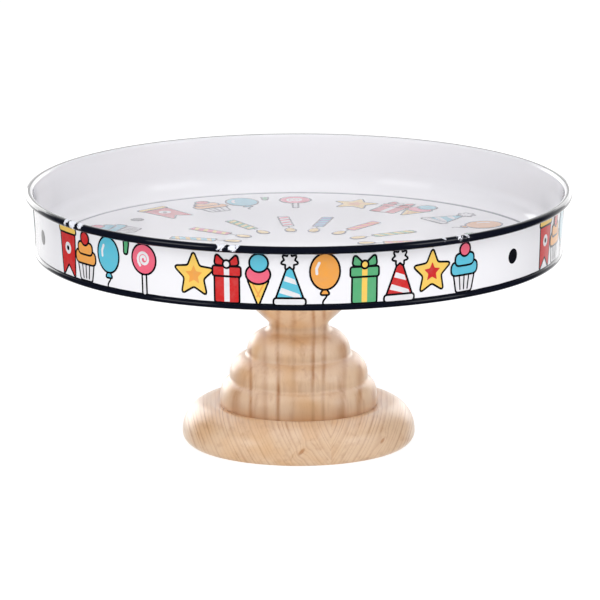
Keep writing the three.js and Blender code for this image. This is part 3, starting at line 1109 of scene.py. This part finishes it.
def pressed_felt():
    """Dark pressed felt with a matted pile."""

    def build(nodes, shader):
        tint = bpy.context.scene.cake_stand_finish.felt
        position = nodes.place()
        pile = nodes.noise(position, 1500.0, 4.0, 0.7, 1.5)
        cloud = nodes.noise(position, 150.0, 3.0)
        lighter = rgba([c * 2.2 + 0.01 for c in tint])
        share = nodes.math("MULTIPLY", nodes.ramp(pile, 0.4, 0.75), nodes.ramp(cloud, 0.2, 0.8))
        add_bump(nodes, shader, pile, 0.25 * MM, 0.8)
        paint(nodes, shader, Base_Color=nodes.mix(share, rgba(tint), lighter), Sheen_Weight=0.4)
        paint(nodes, shader, Roughness=nodes.math("MULTIPLY_ADD", pile, 0.1, 0.88), Sheen_Roughness=0.5)

    return material("pressed_felt", build)


# ---- Pieces: each operator makes one piece, and puts it on its body --------------------------

TRAY_SEGMENTS = 480
WOOD_SEGMENTS = 240
SMALL_SEGMENTS = 96


def settle(piece, body, slot_name, *nodes):
    """Puts a piece on its body, in place of the nodes it stands for."""
    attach(piece, body)
    if nodes:
        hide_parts(*nodes)


class CAKESTAND_OT_side_band(bpy.types.Operator):
    """Adds the enamelled band with its rolled rim and bottom bead"""

    bl_idname = "cake_stand.side_band"
    bl_label = "Side Band"

    def execute(self, context):
        tray = context.scene.cake_stand_tray
        curl_centre = (tray.rim_radius - tray.curl, tray.rim_top - tray.curl)
        bead_centre = (tray.bead_centre, tray.bottom + tray.bead)
        bead_end = math.degrees(math.acos((tray.wall_foot - tray.bead_centre) / tray.bead))
        bead_start, curl_end = -184, -115  # degrees
        edge = 0.3 * MM
        lip_low, lip_high = tray.bottom + 1.5 * MM, PAN_LOW.z - edge
        line = wall_line(tray)
        outline = [(tray.lip + edge, lip_low)]
        outline += circle_arc(bead_centre, tray.bead, bead_start, bead_end, 22)
        outline += line[1:-1]
        outline += circle_arc(curl_centre, tray.curl - tray.sheet, 180, curl_end, 16)
        outline += circle_arc(curl_centre, tray.curl, curl_end, 180, 34)
        outline += [(radius - tray.sheet, height) for radius, height in line[-2:0:-1]]
        outline += [(tray.wall_foot - tray.sheet, lip_high), (tray.lip + edge, lip_high)]
        outline += [(tray.lip, lip_high - edge), (tray.lip, lip_low + edge)]
        piece = turned("enamel_band", outline, TRAY_SEGMENTS, [band_enamel()], ring=True)
        settle(piece, "tray", "white_enamel", "side_band")
        return {"FINISHED"}


class CAKESTAND_OT_floor_pan(bpy.types.Operator):
    """Adds the enamelled floor with its coved edge and pressed line"""

    bl_idname = "cake_stand.floor_pan"
    bl_label = "Floor Pan"

    def execute(self, context):
        tray = context.scene.cake_stand_tray
        feather = 0.03 * MM
        middle = (tray.flat, PAN_HIGH.z)
        reach = wall_radius(tray, PAN_HIGH.z) - tray.sheet - feather - tray.flat
        cove = arc(middle, reach - feather, PAN_HIGH.z - CAKE_SURFACE, 0, -88, 20)
        outline = [(0, PAN_LOW.z), (tray.flat * 0.5, PAN_LOW.z)]
        outline += arc(middle, reach, PAN_HIGH.z - PAN_LOW.z, -90, 0, 20)
        outline += cove + [(tray.flat, CAKE_SURFACE - tray.groove), (tray.flat - 0.6 * MM, CAKE_SURFACE)]
        outline += [(tray.flat * share, CAKE_SURFACE) for share in (0.985, 0.8, 0.6, 0.4, 0.2)]
        outline += [(0, CAKE_SURFACE)]
        piece = turned("enamel_floor", outline, TRAY_SEGMENTS, [pan_enamel()])
        settle(piece, "tray", "white_enamel", "floor_pan")
        return {"FINISHED"}


class CAKESTAND_OT_band_prints(bpy.types.Operator):
    """Adds the runs of motifs printed round the outside of the band"""

    bl_idname = "cake_stand.band_prints"
    bl_label = "Band Prints"

    def execute(self, context):
        tray, inks = context.scene.cake_stand_tray, context.scene.cake_stand_inks
        sheet = Print(inks.film, inks.outline / MM, BAND_FACET)
        for middle in BAND_RUNS:
            for draw, ink, accent, turn, _ in RUN:
                sheet.motif(draw(ink, accent), on_band(middle + turn, tray))
        for turn in BAND_DOTS:
            sheet.motif(dot(), on_band(turn, tray))
        settle(sheet.mesh("band_prints"), "tray", "white_enamel")
        return {"FINISHED"}


class CAKESTAND_OT_floor_prints(bpy.types.Operator):
    """Adds the ring of motifs and the ring of candles printed on the floor"""

    bl_idname = "cake_stand.floor_prints"
    bl_label = "Floor Prints"

    def execute(self, context):
        inks = context.scene.cake_stand_inks
        # The floor's inks carry the painted glare wash.
        ring = Print(inks.film, inks.outline / MM, FLOOR_FACET, inks.floor_paleness)
        for middle in FLOOR_RUNS:
            for draw, ink, accent, _, turn in RUN:
                ring.motif(draw(ink, accent), on_floor(middle + turn, FLOOR_RING_RADIUS, FLOOR_MOTIF_SCALE))
        for turn in FLOOR_DOTS:
            ring.motif(dot(), on_floor(turn, FLOOR_RING_RADIUS))
        settle(ring.mesh("floor_prints"), "tray", "white_enamel")
        candles = Print(inks.film, inks.outline / MM, FLOOR_FACET, inks.floor_paleness)
        for turn, ink, accent in CANDLES:
            for half in (0, 180):
                candles.motif(candle(ink, accent), on_floor(turn + half, CANDLE_RADIUS))
        settle(candles.mesh("candle_prints"), "tray", "white_enamel")
        return {"FINISHED"}


class CAKESTAND_OT_fixing(bpy.types.Operator):
    """Adds the mounting plate with its spot welds, the threaded barrel and the rubber washer"""

    bl_idname = "cake_stand.fixing"
    bl_label = "Plate, Barrel and Washer"

    def execute(self, context):
        self.add_plate()
        self.add_barrel(context.scene.cake_stand_pedestal)
        self.add_washer()
        return {"FINISHED"}

    def add_plate(self):
        hole, edge = 5 * MM, 0.4 * MM
        outline = [
            (hole, PLATE_LOW.z + edge / 2),
            (hole + edge / 2, PLATE_LOW.z),
            *rounded_side(PLATE_HIGH.x, PLATE_LOW.z, PLATE_HIGH.z, edge),
            (hole + edge / 2, PLATE_HIGH.z),
            (hole, PLATE_HIGH.z - edge / 2),
        ]
        plate = turned("steel_plate", outline, SMALL_SEGMENTS, [bare_steel()], ring=True)
        settle(plate, "tray", "steel", "mounting_plate")
        radius, rise, root = 1.1 * MM, 0.18 * MM, PLATE_LOW.z + 0.1 * MM
        dome = arc((0, PLATE_LOW.z), radius, rise, -90, 0, 3) + [(radius, root), (0, root)]
        reach = (PLATE_HIGH.x + WASHER_HIGH.x) / 2 - 0.4 * MM
        for k in range(4):
            weld = turned(f"spot_weld_{k + 1}", dome, 24, [zinc_plate()])
            turn = math.pi / 2 * k + math.pi / 4
            weld.data.transform(Matrix.Translation((reach * math.cos(turn), reach * math.sin(turn), 0)))
            settle(weld, "tray", "steel")

    def add_barrel(self, pedestal):
        bore, depth, edge, segments = 4.25 * MM, 0.35 * MM, 0.8 * MM, 40
        vertices, rows = thread(bore + depth, -depth, pedestal.thread_pitch, NUT_LOW.z, NUT_HIGH.z, segments)
        outside = []
        for radius, height in (
            (NUT_HIGH.x - edge, NUT_LOW.z),
            (NUT_HIGH.x, NUT_LOW.z + edge),
            (NUT_HIGH.x, NUT_HIGH.z - edge / 3),
            (NUT_HIGH.x - edge / 3, NUT_HIGH.z),
        ):
            outside.append(range(len(vertices), len(vertices) + segments))
            vertices += circle(radius, height, segments)
        faces = bands([rows[0], *outside, *reversed(rows)])
        barrel = add_mesh("threaded_barrel", vertices, faces, [zinc_plate()], sharp_angle=50)
        settle(barrel, "tray", "zinc", "barrel_nut")

    def add_washer(self):
        bore, edge = 7.3 * MM, 0.45 * MM
        outline = [
            (bore, WASHER_LOW.z + edge),
            (bore + edge, WASHER_LOW.z),
            *rounded_side(WASHER_HIGH.x, WASHER_LOW.z, WASHER_HIGH.z, edge),
            (bore + edge, WASHER_HIGH.z),
            (bore, WASHER_HIGH.z - edge),
        ]
        washer = turned("soft_washer", outline, SMALL_SEGMENTS, [black_rubber()], ring=True)
        settle(washer, "washer", "rubber", "rubber_washer")


# The stem's beads, lowest first, in millimetres: crease under it, widest place, crease above it.
BEADS = [
    ((43.9, 20.95), (44.3, 24.2), (38.2, 35.8)),
    ((38.2, 35.8), (38.8, 38.0), (28.4, 49.6)),
    ((28.4, 49.6), (29.0, 51.2), (17.2, 63.4)),
]


# The flare above the neck, as radius and height: where it opens, its widest place and its top.
FLARE = ((29.5 * MM, 81 * MM), (34.5 * MM, 95 * MM), (30 * MM, STEM_HIGH.z))
# Bores, which nobody sees: radius and end height, or depth from the stem's top.
DOWEL_BORE, DOWEL_LOW, DOWEL_TOP = 10.3 * MM, 8.2 * MM, 36.6 * MM
BARREL_BORE, BARREL_DEPTH = 10 * MM, 16 * MM
BOLT_BORE, BOLT_END_GAP = 4.2 * MM, 0.3 * MM
FELT_POCKET, POCKET_TOP = 57 * MM, 2 * MM
# The base as radius and height: its foot, the crown that the nose runs up to, and the seat under the stem.
BASE_FOOT, NOSE_HEIGHT = 62.5 * MM, 6.5 * MM
BASE_CROWN = (50 * MM, BASE_HIGH.z + 0.5 * MM)
BASE_SEAT = (42.8 * MM, 20.8 * MM)


def bead_outline(foot, widest, crown, steps=12):
    """One turned bead, from the crease under it to the crease above it."""
    foot, widest, crown = (tuple(v * MM for v in place) for place in (foot, widest, crown))
    tuck = arc((foot[0], widest[1]), widest[0] - foot[0], widest[1] - foot[1], -90, 0, 5)
    shoulder = arc((crown[0], widest[1]), widest[0] - crown[0], crown[1] - widest[1], 0, 90, steps)
    return tuck + shoulder[1:]


class CAKESTAND_OT_stem(bpy.types.Operator):
    """Adds the turned stem"""

    bl_idname = "cake_stand.stem"
    bl_label = "Stem"

    def execute(self, context):
        pedestal = context.scene.cake_stand_pedestal
        neck = (pedestal.neck_radius, pedestal.neck_height)
        opening, widest, top = FLARE
        outline = [(0, DOWEL_TOP), (DOWEL_BORE, DOWEL_TOP), (DOWEL_BORE, STEM_LOW.z)]
        for k, bead in enumerate(BEADS):
            outline += bead_outline(*bead)[min(k, 1) :]
        outline += bulge(neck, opening, 0.3 * MM, 12)
        outline += bulge(opening, widest, 1.6 * MM, 8)[1:]
        outline += bulge(widest, top, 2 * MM, 8)[1:]
        outline += [(BARREL_BORE, STEM_HIGH.z), (BARREL_BORE, STEM_HIGH.z - BARREL_DEPTH)]
        outline += [(BOLT_BORE, STEM_HIGH.z - BARREL_DEPTH), (BOLT_BORE, BOLT_LOW.z - BOLT_END_GAP)]
        outline += [(0, BOLT_LOW.z - BOLT_END_GAP)]
        creases = [Vector(crown) * MM for _, _, crown in BEADS] + [neck]
        outline = softened(outline, creases, pedestal.crease)
        piece = turned("turned_stem", outline, WOOD_SEGMENTS, [stem_pine()])
        settle(piece, "pedestal", "pine", "stem")
        return {"FINISHED"}


class CAKESTAND_OT_base(bpy.types.Operator):
    """Adds the turned base"""

    bl_idname = "cake_stand.base"
    bl_label = "Base"

    def execute(self, context):
        nose, crown = (BASE_HIGH.x, NOSE_HEIGHT), BASE_CROWN
        outline = [(0, POCKET_TOP), (FELT_POCKET, POCKET_TOP)]
        outline += [(FELT_POCKET, BASE_LOW.z), (BASE_FOOT, BASE_LOW.z)]
        outline += bulge((BASE_FOOT + 0.5 * MM, BASE_LOW.z + 0.4 * MM), nose, 0.8 * MM, 8)
        outline += arc((crown[0], nose[1]), nose[0] - crown[0], crown[1] - nose[1], 0, 90, 24)[1:]
        outline += bulge(crown, BASE_SEAT, 0.1 * MM, 6)[1:]
        outline += [(DOWEL_BORE, BASE_SEAT[1]), (DOWEL_BORE, DOWEL_LOW), (0, DOWEL_LOW)]
        piece = turned("turned_base", outline, WOOD_SEGMENTS, [base_pine()])
        settle(piece, "pedestal", "pine", "base")
        return {"FINISHED"}


class CAKESTAND_OT_hanger_bolt(bpy.types.Operator):
    """Adds the hanger bolt with its thread"""

    bl_idname = "cake_stand.hanger_bolt"
    bl_label = "Hanger Bolt"

    def execute(self, context):
        pedestal = context.scene.cake_stand_pedestal
        depth = pedestal.thread_depth
        root, pitch = BOLT_HIGH.x - depth, pedestal.thread_pitch
        vertices, rows = thread(root, depth, pitch, BOLT_LOW.z, BOLT_HIGH.z, 36)
        faces = bands(rows) + [list(reversed(rows[0])), list(rows[-1])]
        piece = add_mesh("threaded_stud", vertices, faces, [zinc_plate()], sharp_angle=60)
        settle(piece, "pedestal", "zinc", "hanger_bolt")
        return {"FINISHED"}


class CAKESTAND_OT_felt_pad(bpy.types.Operator):
    """Adds the felt pad, with a slightly uneven cut edge"""

    bl_idname = "cake_stand.felt_pad"
    bl_label = "Felt Pad"

    def execute(self, context):
        edge = 0.5 * MM
        outline = [(0, FELT_LOW.z), (FELT_HIGH.x * 0.5, FELT_LOW.z)]
        outline += rounded_side(FELT_HIGH.x, FELT_LOW.z, FELT_HIGH.z, edge) + [(0, FELT_HIGH.z)]

        def uneven(angle, radius):
            if radius < FELT_HIGH.x - 2 * edge:
                return 0
            return -0.12 * MM * (1 + math.sin(23 * angle) * math.sin(9 * angle + 1))

        piece = turned("felt_disc", outline, WOOD_SEGMENTS, [pressed_felt()], swell=uneven)
        settle(piece, "pedestal", "felt", "felt_pad")
        return {"FINISHED"}


class CAKESTAND_OT_hidden_fixings(bpy.types.Operator):
    """Gives the wire, the dowel and the screws their finishes"""

    bl_idname = "cake_stand.hidden_fixings"
    bl_label = "Hidden Fixings"

    def execute(self, context):
        finishes = {"rim_wire": bare_steel, "centre_dowel": plain_beech}
        finishes.update({f"base_screw_{k}": zinc_plate for k in (1, 2, 3)})
        for node, finish in finishes.items():
            mesh = frame["nodes"][node].data
            mesh.materials.clear()
            mesh.materials.append(finish())
        return {"FINISHED"}


# ---- Stage ----------------------------------------------------------------------------------

# Square softboxes that face the object: name, place, size, power and whether the gloss mirrors them.
LIGHTS = [
    ("front_fill", (-0.2, -2.2, 0.9), 1.6, 5, False),
    ("top_fill", (0.1, -1.1, 1.9), 1.6, 37, False),
    ("left_fill", (-2.2, -0.6, 0.35), 1.6, 18, False),
    ("right_fill", (2.2, -0.6, 0.35), 1.6, 14, False),
    ("left_panel", (-1.6, -1.25, 1.0), 1.0, 4.5, True),
    ("right_panel", (1.8, -0.95, 1.0), 1.0, 5, True),
    ("left_back_panel", (-1.1, 1.9, 0.5), 1.2, 10, True),
    ("right_back_panel", (0.9, 2.0, 0.5), 1.0, 4, True),
]
LIGHT_TARGET = Vector((0, 0, 0.08))
STUDIO_WHITE, STUDIO_DARK = (1, 1, 1, 1), (0.022, 0.024, 0.032, 1)
FLOOR_GREYS = ((0.30, 0.30, 0.30, 1), (0.32, 0.32, 0.32, 1))
FLOOR_GLOW = 0.86
FLOOR_THICKNESS = 4 * MM


class CAKESTAND_OT_stage(bpy.types.Operator):
    """Adds the floor, the surround, the soft lights and the camera"""

    bl_idname = "cake_stand.stage"
    bl_label = "Stage"

    def execute(self, context):
        stage = context.scene.cake_stand_stage
        context.scene.view_settings.view_transform = "Standard"
        self.add_floor(stage)
        self.add_surround(context.scene, stage)
        for light in LIGHTS:
            self.add_light(*light)
        self.add_camera(context.scene, stage)
        return {"FINISHED"}

    def add_floor(self, stage):
        """A wide plain floor that glows faintly, so that it runs into the white behind it."""
        outline = [(0, -FLOOR_THICKNESS), (stage.floor_size, -FLOOR_THICKNESS)]
        outline += [(radius, 0) for radius in (stage.floor_size, stage.floor_size / 2, 0.3, 0.1, 0)]

        def build(nodes, shader):
            cloud = nodes.noise(nodes.place(), 3.0, 2.0)
            paint(nodes, shader, Base_Color=nodes.mix(cloud, *FLOOR_GREYS))
            paint(nodes, shader, Roughness=0.9, Specular_IOR_Level=0.0)
            paint(nodes, shader, Emission_Color=(1, 1, 1, 1), Emission_Strength=FLOOR_GLOW)

        floor = turned("floor", outline, 64, [material("pale_floor", build)])
        floor.visible_glossy = False

    def add_surround(self, scene, stage):
        """A studio that is white behind the object, dim overhead and dark to the front and sides."""
        world = bpy.data.worlds.new("studio")
        scene.world = world
        world.use_nodes = True
        nodes = Nodes(world.node_tree)
        direction = nodes.add("ShaderNodeTexCoord").outputs["Generated"]
        front = nodes.vector("DOT_PRODUCT", direction, (0.0, -1.0, 0.0), output=1)
        overhead = nodes.vector("DOT_PRODUCT", direction, (0.0, -0.5, 0.866), output=1)
        dim = nodes.math("MULTIPLY", nodes.ramp(overhead, 0.45, 0.85), 0.5)
        dark = nodes.math("MAXIMUM", nodes.ramp(front, -0.93, -0.5), dim)
        background = world.node_tree.nodes["Background"]
        nodes.feed(background.inputs["Color"], nodes.mix(dark, STUDIO_WHITE, STUDIO_DARK))
        background.inputs["Strength"].default_value = stage.surround

    def add_light(self, name, place, size, power, seen_in_gloss):
        """A square softbox that faces the object."""
        light = bpy.data.lights.new(name, "AREA")
        light.shape, light.size, light.energy = "SQUARE", size, power
        lamp = bpy.data.objects.new(name, light)
        bpy.context.scene.collection.objects.link(lamp)
        lamp.location = place
        lamp.visible_glossy = seen_in_gloss
        lamp.rotation_euler = (LIGHT_TARGET - lamp.location).to_track_quat("-Z", "Y").to_euler()

    def add_camera(self, scene, stage):
        """A long lens a little above the rim, in front."""
        camera = bpy.data.cameras.new("camera")
        camera.lens, camera.sensor_width = stage.lens, 36.0
        camera.clip_start, camera.clip_end = 0.1, 50.0
        eye = bpy.data.objects.new("camera", camera)
        scene.collection.objects.link(eye)
        tray = scene.cake_stand_tray
        rim_middle = tray.rim_top - tray.curl
        eye.location = (
            0,
            -stage.distance * math.cos(stage.elevation),
            rim_middle + stage.distance * math.sin(stage.elevation),
        )
        eye.rotation_euler = (math.pi / 2 - stage.pitch, 0, -stage.yaw)
        scene.camera = eye


# ---- Add-on ---------------------------------------------------------------------------------

OPERATORS = (
    CAKESTAND_OT_stage,
    CAKESTAND_OT_side_band,
    CAKESTAND_OT_floor_pan,
    CAKESTAND_OT_band_prints,
    CAKESTAND_OT_floor_prints,
    CAKESTAND_OT_fixing,
    CAKESTAND_OT_stem,
    CAKESTAND_OT_base,
    CAKESTAND_OT_hanger_bolt,
    CAKESTAND_OT_felt_pad,
    CAKESTAND_OT_hidden_fixings,
)


class CAKESTAND_PT_sidebar(bpy.types.Panel):
    """Lists the pieces of the cake stand and their settings"""

    bl_idname = "CAKESTAND_PT_sidebar"
    bl_label = "Cake Stand"
    bl_space_type = "VIEW_3D"
    bl_region_type = "UI"
    bl_category = "Cake Stand"

    def draw(self, context):
        for operator in OPERATORS:
            self.layout.operator(operator.bl_idname)
        for name, group in PROPERTY_GROUPS.items():
            box_layout = self.layout.box()
            box_layout.label(text=group.__name__)
            for setting in group.__annotations__:
                box_layout.prop(getattr(context.scene, name), setting)


def register():
    """Registers the settings, the operators and the panel."""
    for name, group in PROPERTY_GROUPS.items():
        bpy.utils.register_class(group)
        setattr(bpy.types.Scene, name, PointerProperty(type=group))
    for operator in OPERATORS:
        bpy.utils.register_class(operator)
    bpy.utils.register_class(CAKESTAND_PT_sidebar)


def unregister():
    """Removes what register added."""
    bpy.utils.unregister_class(CAKESTAND_PT_sidebar)
    for operator in reversed(OPERATORS):
        bpy.utils.unregister_class(operator)
    for name, group in PROPERTY_GROUPS.items():
        delattr(bpy.types.Scene, name)
        bpy.utils.unregister_class(group)


def main():
    """Makes every piece and the stage."""
    register()
    for operator in OPERATORS:
        family, name = operator.bl_idname.split(".")
        getattr(getattr(bpy.ops, family), name)()


if __name__ == "__main__":
    main()
